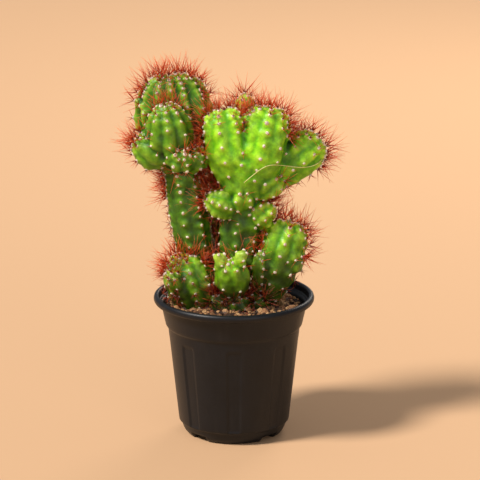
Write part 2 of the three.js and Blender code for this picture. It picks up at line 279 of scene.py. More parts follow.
def lobe(foot, tip, wide, deep=None, ribs=8, neck=0.65, crest=2.0, thick=2.0, bow=(0, 0, 0),
         across=(1, 0, 0), groove=0.14, furrow_from=0.15, dense=1.0, spiny=1.0):
    """A lobe's facts in millimetres. wide and deep are half sizes, neck is how narrow its foot
    is, crest says how far its tip spreads into a line, and across is its wide direction. Its
    furrows deepen from the share furrow_from of its length."""
    foot, tip = np.array(foot, float), np.array(tip, float)
    along = (tip - foot) / np.linalg.norm(tip - foot)
    side = np.array(across, float)
    side -= along * along.dot(side)
    side /= np.linalg.norm(side)
    return dict(foot=foot, tip=tip, wide=wide, deep=deep or wide, ribs=ribs, neck=neck, crest=crest,
                thick=thick, bow=np.array(bow, float), along=along, side=side,
                front=np.cross(along, side), groove=groove, furrow_from=furrow_from, dense=dense,
                spiny=spiny)


def rib_share(shape, angle):
    """How far round the lobe an angle is, from 0 to 1, by length along its section."""
    steps = np.linspace(0, math.tau, 721)
    middle = (steps[1:] + steps[:-1]) / 2
    lengths = np.hypot(shape["wide"] * np.sin(middle), shape["deep"] * np.cos(middle))
    total = np.concatenate([[0], np.cumsum(lengths)])
    return np.interp(np.mod(angle, math.tau), steps, total / total[-1])


def rib_angle(shape, share):
    """The angle at a share of the way round the lobe."""
    steps = np.linspace(0, math.tau, 721)
    return np.interp(np.mod(share, 1.0), rib_share(shape, steps[:-1]).tolist() + [1.0], steps)


def rounded(s, power):
    """A lobe's width along its length, from 0 at both ends to 1 halfway."""
    return np.maximum(0, 1 - np.abs(s) ** power) ** (1 / power)


def skin_points(shape, s, angle):
    """Points on a lobe's skin: s runs from -1 at its foot to 1 at its tip."""
    t = (1 + s) / 2
    taper = shape["neck"] + (1 - shape["neck"]) * smooth(t / 0.6)
    sway = 0.16 * np.sin(math.tau * (1.1 * t + 0.37 * shape["ribs"])) * (1 - t)
    phase = rib_share(shape, angle) * shape["ribs"] + sway
    crown = np.abs(np.cos(np.pi * phase)) ** 0.7
    rib = 1 - shape["groove"] * smooth((t - shape["furrow_from"]) / 0.35) * (1 - crown)
    wide = shape["wide"] * taper * rib * rounded(s, shape["crest"])
    deep = shape["deep"] * taper * rib * rounded(s, shape["thick"])
    middle = shape["foot"] + np.outer(t, shape["tip"] - shape["foot"])
    middle = middle + np.outer(4 * t * (1 - t), shape["bow"])
    across = np.outer(wide * np.cos(angle), shape["side"]) + np.outer(deep * np.sin(angle), shape["front"])
    return middle + across


def add_lobe(bm, shape):
    """Adds a sphere to the bmesh and moves its vertices onto the lobe's skin."""
    made = bmesh.ops.create_uvsphere(bm, u_segments=shape["ribs"] * 12, v_segments=56, radius=1)["verts"]
    unit = np.array([v.co for v in made])
    places = skin_points(shape, np.clip(unit[:, 2], -1, 1), np.arctan2(unit[:, 1], unit[:, 0]))
    for v, place in zip(made, places):
        v.co = place


def grown_together(lobes, voxel):
    """One closed skin over all the lobes, as a mesh in millimetres."""
    bm = bmesh.new()
    for shape in lobes:
        add_lobe(bm, shape)
    mesh = bpy.data.meshes.new("lobes")
    bm.to_mesh(mesh)
    bm.free()
    rough = bpy.data.objects.new("lobes", mesh)
    bpy.context.scene.collection.objects.link(rough)
    remesh = rough.modifiers.new("skin", "REMESH")
    remesh.mode = "VOXEL"
    remesh.voxel_size = voxel
    remesh.adaptivity = 0
    soften = rough.modifiers.new("soften", "SMOOTH")
    soften.factor = 0.5
    soften.iterations = 13
    whole = bpy.data.meshes.new_from_object(rough.evaluated_get(bpy.context.evaluated_depsgraph_get()))
    bpy.data.objects.remove(rough)
    bpy.data.meshes.remove(mesh)
    return whole


def places_of(mesh):
    """A mesh's vertex places, one row each."""
    places = np.empty(len(mesh.vertices) * 3)
    mesh.vertices.foreach_get("co", places)
    return places.reshape(-1, 3)


def normals_of(mesh):
    """A mesh's vertex normals, one row each."""
    normals = np.empty(len(mesh.vertices) * 3)
    mesh.vertex_normals.foreach_get("vector", normals)
    return normals.reshape(-1, 3)


def put_places(mesh, places):
    """Moves a mesh's vertices to new places."""
    mesh.vertices.foreach_set("co", places.astype(np.float32).ravel())
    mesh.update()


def averaged(mesh, values, rounds):
    """Each vertex's value blended with its neighbours' again and again."""
    size = len(values)
    edges = np.empty(len(mesh.edges) * 2, dtype=np.int64)
    mesh.edges.foreach_get("vertices", edges)
    a, b = edges.reshape(-1, 2).T
    count = np.bincount(np.concatenate([a, b]), minlength=size)[:, None]
    for _ in range(rounds):
        total = np.stack([np.bincount(a, values[b, k], size) + np.bincount(b, values[a, k], size)
                          for k in range(values.shape[1])], axis=1)
        values = 0.5 * values + 0.5 * total / np.maximum(count, 1)
    return values


def rib_line(shape, angle, s_from=-0.75):
    """Points along a lobe's skin at one angle, with the length to each and its s."""
    s = np.linspace(s_from, 0.998, 160)
    line = skin_points(shape, s, np.full(160, angle))
    run = np.concatenate([[0], np.cumsum(np.linalg.norm(np.diff(line, axis=0), axis=1))])
    return line, run, s


def fitted(skin, node):
    """Stretches a skin, by a hair, to fill its CAD node's box, and returns the stretch and the
    shift that did it."""
    low, high = (np.array(corner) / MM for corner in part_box(node))
    places = places_of(skin)
    own_low, own_high = places.min(axis=0), places.max(axis=0)
    stretch = (high - low) / (own_high - own_low)
    shift = low - own_low * stretch
    put_places(skin, places * stretch + shift)
    return stretch, shift


def areole_sites(lobes, skin, stretch, shift, draws):
    """Where the areoles stand: along every rib of every lobe and in rows along its crest,
    where these reach the skin. A site is its place, the skin's normal, its lobe and its
    youth, from 0 on old skin to 1 at a growing tip."""
    tree = BVHTree.FromPolygons([v.co for v in skin.vertices], [p.vertices for p in skin.polygons])
    found = []
    for shape in lobes:
        for rib in range(shape["ribs"]):
            line, run, s = rib_line(shape, rib_angle(shape, rib / shape["ribs"]))
            place = run[-1] - AREOLE_SPACING * draws.uniform(0.1, 0.4)
            while place > 0:
                at = np.array([np.interp(place, run, line[:, k]) for k in range(3)])
                young = float(smooth((np.interp(place, run, s) - 0.5) / 0.48))
                found.append((young, at + np.array([draws.gauss(0, 0.4) for _ in range(3)]), shape))
                place -= AREOLE_SPACING / shape["dense"] * draws.uniform(0.8, 1.25) * (1 - 0.55 * young)
        if shape["crest"] > CREST_FROM:
            for turn in CREST_ROWS:
                line, run, s = rib_line(shape, turn, 0.45)
                for place in np.arange(run[-1], 0, -CREST_SPACING):
                    at = np.array([np.interp(place, run, line[:, k]) for k in range(3)])
                    young = 0.8 + 0.2 * float(smooth((np.interp(place, run, s) - 0.6) / 0.4))
                    found.append((young, at + np.array([draws.gauss(0, 0.3) for _ in range(3)]), shape))
    sites, taken = [], np.full((len(found), 3), 1e6)
    for young, at, shape in sorted(found, key=lambda f: -f[0]):
        near, normal, _, distance = tree.find_nearest(Vector(at * stretch + shift))
        gap = AREOLE_GAP * (1 - 0.5 * young) / shape["dense"] ** 0.5
        if distance > SITE_REACH or np.min(np.linalg.norm(taken - np.array(near), axis=1)) < gap:
            continue
        taken[len(sites)] = near
        sites.append((np.array(near), np.array(normal), shape, young))
    return sites


def raise_tubercles(skin, sites):
    """Swells the skin into a low knob under each areole, and returns the knobs' tops."""
    places, normals = places_of(skin), normals_of(skin)
    tree = kdtree.KDTree(len(places))
    for i, place in enumerate(places):
        tree.insert(place, i)
    tree.balance()
    rise = np.zeros(len(places))
    tops = []
    for at, normal, shape, young in sites:
        knob = TUBERCLE_HEIGHT * (0.6 + 0.4 * young + 0.25 * shape["dense"])
        for _, i, distance in tree.find_range(at, 3 * TUBERCLE_SPREAD):
            rise[i] = max(rise[i], knob * math.exp(-((distance / TUBERCLE_SPREAD) ** 2)))
        _, i, _ = tree.find(at)
        tops.append(at + normals[i] * knob)
    put_places(skin, places + normals * rise[:, None])
    return tops


def skin_colours(skin, lobes, vigour):
    """Stores what the skin's colour depends on: how far it stands out or sinks in, for painted
    highlight on crests and painted shade in furrows, its youth, and how near the soil it is, for
    cork and painted shade.
    """
    places, normals = places_of(skin), normals_of(skin)
    broad = averaged(skin, places, 60)
    # How far each point stands out from the smoothed skin: it paints highlight on crests and shade in
    # furrows.
    ridge_shading = np.einsum("ij,ij->i", places - broad, normals)
    young = np.zeros(len(places))
    for shape in lobes:
        reach = 1.35 * max(shape["wide"], shape["deep"]) + 3
        share = vigour * min(1, (shape["wide"] - 4) / 10)
        from_tip = np.linalg.norm(places - shape["tip"], axis=1)
        young = np.maximum(young, share * np.exp(-((from_tip / reach) ** 2)))
    # Lower skin turns to cork, and is painted darker there as shade near the soil.
    old = 1 - smooth((places[:, 2] - CORK_AND_SHADE_LINE) / CORK_AND_SHADE_FADE)
    values = np.stack([np.clip(0.5 + ridge_shading * 0.45, 0, 1), young, old, np.ones(len(places))], axis=1)
    skin.attributes.new("growth", "FLOAT_COLOR", "POINT")
    skin.attributes["growth"].data.foreach_set("color", values.astype(np.float32).ravel())


def cactus_skin():
    """Living cereus skin: a waxy, slightly translucent green with patches of blue-grey bloom. The
    crests are painted lighter yellow-green as highlight and the furrows darker green as shade,
    and low down the skin turns olive and corky and is painted darker as shade near the soil."""
    material, shader = blank("waxy cereus skin")
    place = add(material, "TexCoord").outputs["Object"]
    growth = add(material, "Attribute", attribute_name="growth")
    parts = add(material, "SeparateColor", {"Color": growth.outputs["Color"]})
    ridge_shading, young, old = parts.outputs[0], parts.outputs[1], parts.outputs[2]
    blotch = add(material, "TexNoise", {"Vector": place, "Scale": 110.0, "Detail": 6.0, "Roughness": 0.6})
    fine = add(material, "TexNoise", {"Vector": place, "Scale": 900.0, "Detail": 3.0})
    # Both ramps paint shade into the furrows and highlight onto the crests, over the young and old greens.
    base = add(material, "ValToRGB", {"Fac": ridge_shading},
               stops=[(0.05, "#132c04"), (0.4, "#2c5606"), (0.6, "#477a0a"), (0.95, "#7fa822")])
    fresh_and_lit = add(material, "ValToRGB", {"Fac": ridge_shading},
                stops=[(0.05, "#2a6a04"), (0.38, "#64b608"), (0.6, "#98dc18"), (0.95, "#cdf250")])
    youth = add(material, "MapRange", {"Value": young, "From Min": 0.05, "From Max": 0.75})
    green = add(material, "Mix", {"Factor": youth.outputs[0], 6: base.outputs["Color"],
                                  7: fresh_and_lit.outputs["Color"]}, data_type="RGBA")
    bloom_where = add(material, "ValToRGB", {"Fac": blotch.outputs["Fac"]}, stops=[(0.5, 0.0), (0.72, 0.25)])
    bloom = add(material, "Mix", {"Factor": bloom_where.outputs["Color"], 6: green.outputs[2],
                                  7: linear("#5a8f55")}, data_type="RGBA")
    # The olive mix is partly cork and partly painted shade near the soil.
    cork_noise = add(material, "MapRange", {"Value": blotch.outputs["Fac"], "From Min": 0.35,
                                           "From Max": 0.7, "To Min": 0.35})
    cork_and_shade_where = add(material, "Math", {0: old, 1: cork_noise.outputs[0]}, operation="MULTIPLY")
    olive = add(material, "Mix", {"Factor": cork_and_shade_where.outputs[0], 6: bloom.outputs[2],
                                  7: linear("#33370f")}, data_type="RGBA")
    mottle = add(material, "TexNoise", {"Vector": place, "Scale": 210.0, "Detail": 3.0, "Roughness": 0.7})
    uneven = add(material, "MapRange", {"Value": mottle.outputs["Fac"], "From Min": 0.3, "From Max": 0.7,
                                        "To Min": 0.66, "To Max": 1.28})
    speck = add(material, "MapRange", {"Value": fine.outputs["Fac"], "To Min": 0.82, "To Max": 1.16})
    shade = add(material, "Math", {0: uneven.outputs[0], 1: speck.outputs[0]}, operation="MULTIPLY")
    final = add(material, "Mix", {"Factor": 1.0, 6: olive.outputs[2], 7: shade.outputs[0]},
                data_type="RGBA", blend_type="MULTIPLY")
    link(material, final.outputs[2], shader.inputs["Base Color"])
    gloss = add(material, "MapRange", {"Value": blotch.outputs["Fac"], "To Min": 0.3, "To Max": 0.55})
    link(material, gloss.outputs[0], shader.inputs["Roughness"])
    bump = add(material, "Bump", {"Height": fine.outputs["Fac"], "Strength": 0.25, "Distance": 0.0004})
    link(material, bump.outputs[0], shader.inputs["Normal"])
    shader.inputs["Subsurface Weight"].default_value = 0.1
    shader.inputs["Subsurface Radius"].default_value = (0.6, 1.0, 0.25)
    shader.inputs["Subsurface Scale"].default_value = 0.003
    shader.inputs["IOR"].default_value = 1.42
    return material


# Each areole is a pad of short wool, cream when young and grey later, with a brown mark
# where its spines come out. The spines are stiff, red-brown needles with paler tips. In the
# gaps between stems the wool is painted greyer and the spines darker red, as shade.

AREOLE_SPACING = 9.5
AREOLE_GAP = 5.5
AREOLE_RADIUS = 1.12
SPINE_RADIUS = 0.245
SHADE_REACH = 32.0
THICKET_FOOT = 98.0
THICKET_FADE = 32.0
OLD_SPINES = 5.5
YOUNG_SPINES = 5.5
THICKET_SPINES = 9
SHADED_SPINES = 6
SPINE_LENGTHS = (3.5, 7.5)
TIP_LENGTH = 12
SHADED_LENGTH = 3


def copies(template, starts, axes, attribute):
    """One mesh of many copies of a template bmesh. starts holds each copy's place, axes its
    three scaled axes, and attribute two colour values to add to the template's height."""
    template.verts.ensure_lookup_table()
    shape = np.array([v.co for v in template.verts])
    faces = [[v.index for v in f.verts] for f in template.faces]
    count = len(starts)
    places = starts[:, None, :] + np.einsum("vk,nkc->nvc", shape, axes)
    sizes = np.tile([len(f) for f in faces], count)
    corners = np.concatenate([np.array(f) for f in faces])
    corners = (corners[None, :] + np.arange(count)[:, None] * len(shape)).ravel()
    mesh = bpy.data.meshes.new("copies")
    mesh.vertices.add(count * len(shape))
    mesh.vertices.foreach_set("co", places.astype(np.float32).ravel())
    mesh.loops.add(len(corners))
    mesh.loops.foreach_set("vertex_index", corners.astype(np.int32))
    mesh.polygons.add(len(sizes))
    mesh.polygons.foreach_set("loop_start", np.concatenate([[0], np.cumsum(sizes)[:-1]]).astype(np.int32))
    mesh.update(calc_edges=True)
    values = np.ones((count, len(shape), 4))
    values[:, :, 0] = shape[None, :, 2]
    values[:, :, 1:3] = attribute[:, None, :]
    mesh.attributes.new("tone", "FLOAT_COLOR", "POINT")
    mesh.attributes["tone"].data.foreach_set("color", values.astype(np.float32).ravel())
    return mesh


def spine_shape():
    """A three-sided needle one long and one in radius, in two tapering lengths, a little bent."""
    bm = bmesh.new()
    bmesh.ops.create_cone(bm, cap_ends=True, segments=3, radius1=1, radius2=0.22, depth=1)
    bmesh.ops.translate(bm, vec=(0, 0, 0.5), verts=bm.verts)
    uprights = [e for e in bm.edges if abs(e.verts[0].co.z - e.verts[1].co.z) > 0.5]
    bmesh.ops.bisect_edges(bm, edges=uprights, cuts=1)
    bmesh.ops.connect_verts(bm, verts=[v for v in bm.verts if 0.4 < v.co.z < 0.6])
    for v in bm.verts:
        if 0.4 < v.co.z < 0.6:
            v.co.x += 0.5
    bm.verts.index_update()
    return bm


def areole_shape():
    """A low domed pad one in radius."""
    bm = bmesh.new()
    bmesh.ops.create_uvsphere(bm, u_segments=8, v_segments=4, radius=1)
    bm.verts.index_update()
    return bm


def turned(direction, draws):
    """Two unit vectors square to a direction, at a random turn."""
    helper = np.array([draws.gauss(0, 1) for _ in range(3)])
    u = np.cross(direction, helper)
    u /= np.linalg.norm(u)
    return u, np.cross(direction, u)


def wool():
    """Areole wool: matt cream felt that greys as it gets older and is painted greyer as shade
    between stems, browner where the spines come out.
    """
    material, shader = blank("areole wool")
    tone = add(material, "Attribute", attribute_name="tone")
    parts = add(material, "SeparateColor", {"Color": tone.outputs["Color"]})
    top = add(material, "ValToRGB", {"Fac": parts.outputs[0]},
              stops=[(0.0, "#e9dcc8"), (0.9, "#fffaf0"), (1.0, "#8a5236")])
    # Grey for old pads, and painted grey as shade for pads between stems.
    age_and_shade = add(material, "ValToRGB", {"Fac": parts.outputs[1]}, stops=[(0.0, "#bdb09a"), (1.0, "#fffcf4")])
    mixed = add(material, "Mix", {"Factor": 0.85, 6: top.outputs["Color"], 7: age_and_shade.outputs["Color"]},
                data_type="RGBA", blend_type="MULTIPLY")
    link(material, mixed.outputs[2], shader.inputs["Base Color"])
    place = add(material, "TexCoord").outputs["Object"]
    felt = add(material, "TexNoise", {"Vector": place, "Scale": 3500.0, "Detail": 3.0})
    bump = add(material, "Bump", {"Height": felt.outputs["Fac"], "Strength": 0.7, "Distance": 0.0005})
    link(material, bump.outputs[0], shader.inputs["Normal"])
    shader.inputs["Roughness"].default_value = 0.95
    shader.inputs["Sheen Weight"].default_value = 0.3
    return material


def needle():
    """A cereus spine: dense horn, smooth, red-brown at its root and amber towards its tip. Old
    spines take a darker red, and spines in the gaps between stems are painted that darker red
    as shade.
    """
    material, shader = blank("red-brown cactus spine")
    tone = add(material, "Attribute", attribute_name="tone")
    parts = add(material, "SeparateColor", {"Color": tone.outputs["Color"]})
    young = add(material, "ValToRGB", {"Fac": parts.outputs[0]},
                stops=[(0.0, "#7a1206"), (0.25, "#c42c0a"), (0.7, "#e44c14"), (1.0, "#ee7c3c")])
    # The darker ramp is for old spines and, in the gaps between stems, painted shade.
    aged_and_shaded = add(material, "ValToRGB", {"Fac": parts.outputs[0]},
               stops=[(0.0, "#2c0b07"), (0.4, "#6e1a0c"), (1.0, "#a84522")])
    mixed = add(material, "Mix", {"Factor": parts.outputs[1], 6: aged_and_shaded.outputs["Color"],
                                  7: young.outputs["Color"]}, data_type="RGBA")
    link(material, mixed.outputs[2], shader.inputs["Base Color"])
    shader.inputs["Roughness"].default_value = 0.42
    shader.inputs["Subsurface Weight"].default_value = 0.25
    shader.inputs["Subsurface Radius"].default_value = (1.0, 0.4, 0.2)
    shader.inputs["Subsurface Scale"].default_value = 0.001
    return material


SKIN, WOOL, NEEDLE = cactus_skin(), wool(), needle()
grown = []


def stem(name, node, tufts, seed, *lobes, vigour=1.0, thicket=0.0):
    """Builds a stem's skin in place of its CAD node, and notes down its areoles. vigour says
    how young and bright its green is, and thicket how far its old foot bristles with extra spines."""
    draws = random.Random(seed)
    skin = grown_together(lobes, SKIN_VOXEL)
    places, normals = places_of(skin), normals_of(skin)
    bumps = [noise.noise(Vector(p) / 20) + 0.7 * noise.noise(Vector(p) / 9)
             + 0.25 * noise.noise(Vector(p) / 4) for p in places]
    put_places(skin, places + normals * (BUMP_HEIGHT * np.array(bumps)[:, None]))
    sites = areole_sites(lobes, skin, *fitted(skin, node), draws)
    tops = raise_tubercles(skin, sites)
    skin_colours(skin, lobes, vigour)
    bm = bmesh.new()
    bm.from_mesh(skin)
    bpy.data.meshes.remove(skin)
    made = piece(name, bm, SKIN, "woody_crown" if node == "root_crown" else "cactus_skin", node)
    grown.append((made, sites, tops, tufts or (node,), thicket, draws))


def joined_tree(meshes):
    """One search tree over several meshes, in millimetres."""
    places, faces = [], []
    for mesh in meshes:
        faces += [[len(places) + i for i in p.vertices] for p in mesh.polygons]
        places += [v.co / MM for v in mesh.vertices]
    return BVHTree.FromPolygons(places, faces)


def dress(made, sites, tops, tufts, thicket, draws, whole):
    """Puts the wool pads and the spines on a stem's areoles. whole is a tree of all stems."""
    pad_starts, pad_axes, pad_tones = [], [], []
    starts, axes, tones = [], [], []
    for (at, normal, shape, young), top in zip(sites, tops):
        faced, faced_normal, _, away = whole.ray_cast(Vector(top + normal * 2), Vector(normal), SHADE_REACH)
        if faced is not None and faced_normal.dot(Vector(normal)) > 0:
            continue
        shade = 0 if faced is None else 1 - away / SHADE_REACH
        u, v = turned(normal, draws)
        size = AREOLE_RADIUS * draws.uniform(0.8, 1.2) * (1 + 0.2 * young)
        pad_starts.append(top)
        pad_axes.append([u * size, v * size * draws.uniform(0.7, 1), normal * 0.65 * size])
        # Facing another stem lowers this value: the wool there is painted greyer as shade.
        age_and_shade = min(1, max(0, 0.5 + 0.5 * young - 0.5 * shade + draws.gauss(0, 0.15)))
        pad_tones.append((age_and_shade, draws.random()))
        outward = math.hypot(normal[0], normal[2])
        foot = thicket * (1 - float(smooth((top[2] - THICKET_FOOT) / THICKET_FADE)))
        bare = (1 - smooth((outward - 0.35) / 0.6)) * (1 - 0.6 * young) * (normal[1] < 0)
        bare *= max(0, 1 - foot - shade)
        count = (OLD_SPINES + YOUNG_SPINES * young) * shape["spiny"] * (1 - 0.8 * bare)
        count = count + THICKET_SPINES * foot + SHADED_SPINES * shade
        count = round(count * draws.uniform(0.6, 1.4))
        for k in range(count):
            lean = math.acos(1 - draws.random() ** 0.8 * (0.8 - 0.25 * young))
            spin = math.tau * (k / count) + draws.uniform(-0.4, 0.4)
            aim = normal * math.cos(lean) + math.sin(lean) * (u * math.cos(spin) + v * math.sin(spin))
            aim = aim + 0.35 * young * shape["along"]
            aim /= np.linalg.norm(aim)
            length = draws.uniform(*SPINE_LENGTHS) + TIP_LENGTH * young * draws.random() ** 1.3
            length = length + SHADED_LENGTH * shade
            length *= 1 - 0.6 * bare
            p, q = turned(aim, draws)
            thick = SPINE_RADIUS * draws.uniform(0.75, 1.2)
            starts.append(top + normal * 0.2)
            axes.append([p * thick, q * thick, aim * length])
            # Spines at the old foot turn darker red, and spines facing another stem are painted darker red
            # as shade.
            fresh_and_lit = min(1, max(0, 0.5 + 0.5 * young - 0.7 * foot - 0.7 * shade + draws.gauss(0, 0.2)))
            tones.append((fresh_and_lit, draws.random()))
    for kind, shape, data, material in (
        ("areoles", areole_shape(), (pad_starts, pad_axes, pad_tones), WOOL),
        ("spines", spine_shape(), (starts, axes, tones), NEEDLE),
    ):
        mesh = copies(shape, *(np.array(d) for d in data))
        shape.free()
        bm = bmesh.new()
        bm.from_mesh(mesh)
        bpy.data.meshes.remove(mesh)
        piece(f"{made.name}_{kind}", bm, material, "red_spine", *tufts)


# The middle column divides into two broad heads and a third to the right, over knobs.
stem(
    "middle_column", "centre_stem",
    ("spines_centre_left", "spines_centre_right", "spines_centre_far", "spines_centre_knob"), 11,
    lobe((1, 5, 84), (7, 3, 192), 15, 13.5, ribs=7, crest=6, thick=6, neck=0.8, groove=0.08, dense=1.3),
    lobe((3, -2, 160), (-9, -7, 227), 16, 14, ribs=7, crest=3.4, neck=0.42, furrow_from=0.35, groove=0.1),
    lobe((8, -2, 158), (24.5, -6, 228), 18, 14.5, ribs=8, crest=3.4, neck=0.5, furrow_from=0.35, groove=0.1),
    lobe((8, 0, 156), (8, -7, 206), 20, 13, ribs=7, crest=4, neck=0.6, groove=0.05, dense=0.6),
    lobe((16, 4, 172), (58, 3, 203), 16, 13, ribs=7, crest=2.8, neck=0.6, across=(0, 0, 1)),
    lobe((10, 0, 166), (32, -4, 181), 11, ribs=6, dense=1.4),
    lobe((8, 0, 148), (26, -4, 160), 10.5, 8.5, ribs=6, across=(0, 0, 1), dense=1.7, neck=0.9),
    lobe((2, -2, 156), (-19, -7, 166), 9.5, ribs=6, dense=2.4, spiny=0.6, neck=0.95),
    lobe((5, 0, 156), (6, -8, 174), 9.5, ribs=6, dense=2.0, spiny=0.4, neck=0.95),
    thicket=1.0,
)

# The left column leans out and ends in a broad crest behind three rounder heads.
stem(
    "left_column", "left_stem", ("spines_left_crest", "spines_left_front", "spines_left_side"), 12,
    lobe((-14, 8, 84), (-35, 5, 194), 13, 12.5, ribs=7, crest=6, thick=6, neck=0.72, bow=(-4, 0, 0),
         groove=0.08, dense=1.3),
    lobe((-36, 8, 178), (-43, 11, 247), 27, 12, ribs=12, crest=2.7, neck=0.5, dense=1.3, groove=0.2),
    lobe((-40, 2, 180), (-45, -9, 231), 17, 14, ribs=8, neck=0.6, crest=2.2, spiny=0.55),
    lobe((-36, 3, 190), (-66, -3, 205), 15.5, 13, ribs=7, neck=0.7, across=(0, 0, 1)),
    lobe((-36, -2, 188), (-35, -17, 199), 10.5, ribs=6, dense=2.0, spiny=0.5),
    lobe((-32, 0, 184), (-22, -9, 200), 9.5, ribs=6, dense=1.6),
    vigour=0.3, thicket=1.0,
)

# A plainer column stands behind: only its small pale tip shows from the front.
stem(
    "back_column", "back_stem", ("spines_back_tip", "spines_back_side", "spines_back_low"), 13,
    lobe((6, 20, 84), (7, 18, 222), 11, ribs=7, crest=5, thick=5, neck=0.9, groove=0.1),
    lobe((8, 18, 196), (7.5, 16, 232), 9, ribs=7),
    lobe((4, 20, 140), (-15, 25, 197), 11.5, 10.5, ribs=7),
    lobe((3, 20, 98), (-14, 25, 152), 11, ribs=6),
    lobe((8, 22, 98), (25, 30, 132), 11, ribs=7),
    thicket=1.0,
)

# The short arm at the right is a club with a crested top, and a sprout at its foot.
stem(
    "right_arm", "right_stem", ("spines_right_arm",), 14,
    lobe((15, 3, 82), (39, -1, 148), 17, 13, ribs=8, crest=3.2, neck=0.55, furrow_from=0.3, groove=0.13),
    lobe((32, 0, 112), (46, -2, 125), 9, ribs=6, dense=1.5),
    lobe((15, -2, 96), (17, -9, 128), 6, ribs=5, dense=1.5),
    thicket=0.3,
)

# The round offset at the front left is half sunk in the soil.
stem(
    "left_pup", "left_offset", ("spines_left_offset",), 15,
    lobe((-24, 3, 80), (-34, -2, 125), 17, 15, ribs=9, crest=2.6, neck=0.8, groove=0.13, dense=1.3,
         spiny=1.3),
    lobe((-36, -2, 98), (-43, -13, 116), 8, ribs=6, dense=2.0),
    vigour=0.9, thicket=0.5,
)

# The small bright offset at the front has two ears beside its sunken tip.
stem(
    "front_pup", "front_offset", (), 16,
    lobe((0, -5, 98), (-2, -18, 124), 12, 11, ribs=6, crest=2.2, neck=0.75, groove=0.1, spiny=0.2),
    lobe((0, -12, 110), (6, -19, 132), 4.4, ribs=5, dense=1.8, spiny=0.2),
    lobe((-4, -12, 110), (-11, -18, 130), 4.2, ribs=5, dense=1.8, spiny=0.2),
)

# The old crown that they all grow from is dark and lumpy, and mostly under the soil.
stem(
    "old_crown", "root_crown", (), 17,
    lobe((1, 8, 62), (1, 6, 92), 24, 17, ribs=9, crest=3, groove=0.1),
    lobe((-10, 0, 78), (-13, -7, 99), 9, ribs=6, dense=1.5),
    lobe((2, -2, 78), (3, -10, 98), 9.5, ribs=6, dense=1.5),
    lobe((14, 0, 78), (17, -6, 97), 8, ribs=6, dense=1.5),
    vigour=0.0, thicket=1.6,
)

# Spines and wool go on when every stem stands, because the spines in the gaps between stems
# grow longer and more, and their darker red and the wool's grey there are painted shade.
whole = joined_tree([made.data for made, *_ in grown])
for grown_stem in grown:
    dress(*grown_stem, whole)


# ---- Stray fibre ------------------------------------------------------------------------
# One pale plant fibre lies across the middle column. It is as thin as a spine, and it drapes
# from the fork over the right head to the far head's crest.

FIBRE_RADIUS = 0.26
FIBRE_LIFT = 0.7
FIBRE_SIDES = 6
FIBRE_SLOPE = math.radians(15.5)
FIBRE_FACING = Vector((0, math.cos(FIBRE_SLOPE), -math.sin(FIBRE_SLOPE)))
FIBRE_PATH = [
    (6.8, 175.0), (15.8, 182.7), (22.8, 187.8), (34.7, 186.9), (45.6, 185.1), (55.6, 186.9),
    (60.2, 192.5),
]

fibre_curve = []
for (x0, z0), (x1, z1) in zip(FIBRE_PATH, FIBRE_PATH[1:]):
    for share in (0, 0.25, 0.5, 0.75):
        start = Vector((x0 + (x1 - x0) * share, 0, z0 + (z1 - z0) * share)) - 100 * FIBRE_FACING
        met = whole.ray_cast(start, FIBRE_FACING)[0]
        if met is not None:
            fibre_curve.append(met - FIBRE_FACING * FIBRE_LIFT)
for _ in range(6):
    fibre_curve = [fibre_curve[0]] + [
        before * 0.25 + here * 0.5 + after * 0.25 - FIBRE_FACING * 0.12
        for before, here, after in zip(fibre_curve, fibre_curve[1:], fibre_curve[2:])
    ] + [fibre_curve[-1]]
fibre_mesh = bmesh.new()
rings = []
for k, here in enumerate(fibre_curve):
    ahead = fibre_curve[min(k + 1, len(fibre_curve) - 1)] - fibre_curve[max(k - 1, 0)]
    u = ahead.cross(FIBRE_FACING).normalized()
    v = u.cross(ahead).normalized()
    rings.append([fibre_mesh.verts.new(here + FIBRE_RADIUS * (u * math.cos(a) + v * math.sin(a)))
                  for a in (math.tau * side / FIBRE_SIDES for side in range(FIBRE_SIDES))])
for ring, following in zip(rings, rings[1:]):
    for side in range(FIBRE_SIDES):
        beyond = (side + 1) % FIBRE_SIDES
        fibre_mesh.faces.new((ring[side], ring[beyond], following[beyond], following[side]))
fibre_mesh.faces.new(rings[0])
fibre_mesh.faces.new(rings[-1])
bmesh.ops.recalc_face_normals(fibre_mesh, faces=fibre_mesh.faces)
straw, straw_shader = blank("pale dry plant fibre")
straw_shader.inputs["Base Color"].default_value = linear("#d9d98c")
straw_shader.inputs["Roughness"].default_value = 0.5
straw_shader.inputs["Subsurface Weight"].default_value = 0.2
straw_shader.inputs["Subsurface Scale"].default_value = 0.001
piece("stray_fibre", fibre_mesh, straw, "red_spine", "centre_stem")


# ---- Grit and pumice ------------------------------------------------------------------
# The top dressing is loose: pumice, lava and quartz crumbs, most of them 1 to 4 mm across,
# and nine larger pumice stones. They lie on the soil where no stem stands.

GRAINS = 1300
GRAIN_BATCHES = 3
GRAIN_SIZES = (0.65, 2.0)
BIG_GRAIN = 1.5
BIG_GRAIN_SHARE = 0.12
SOIL_RADIUS = 47.0
STONE_SIDES = 5
STONE_CUT = 0.68
STONE_FLATNESS = 0.85


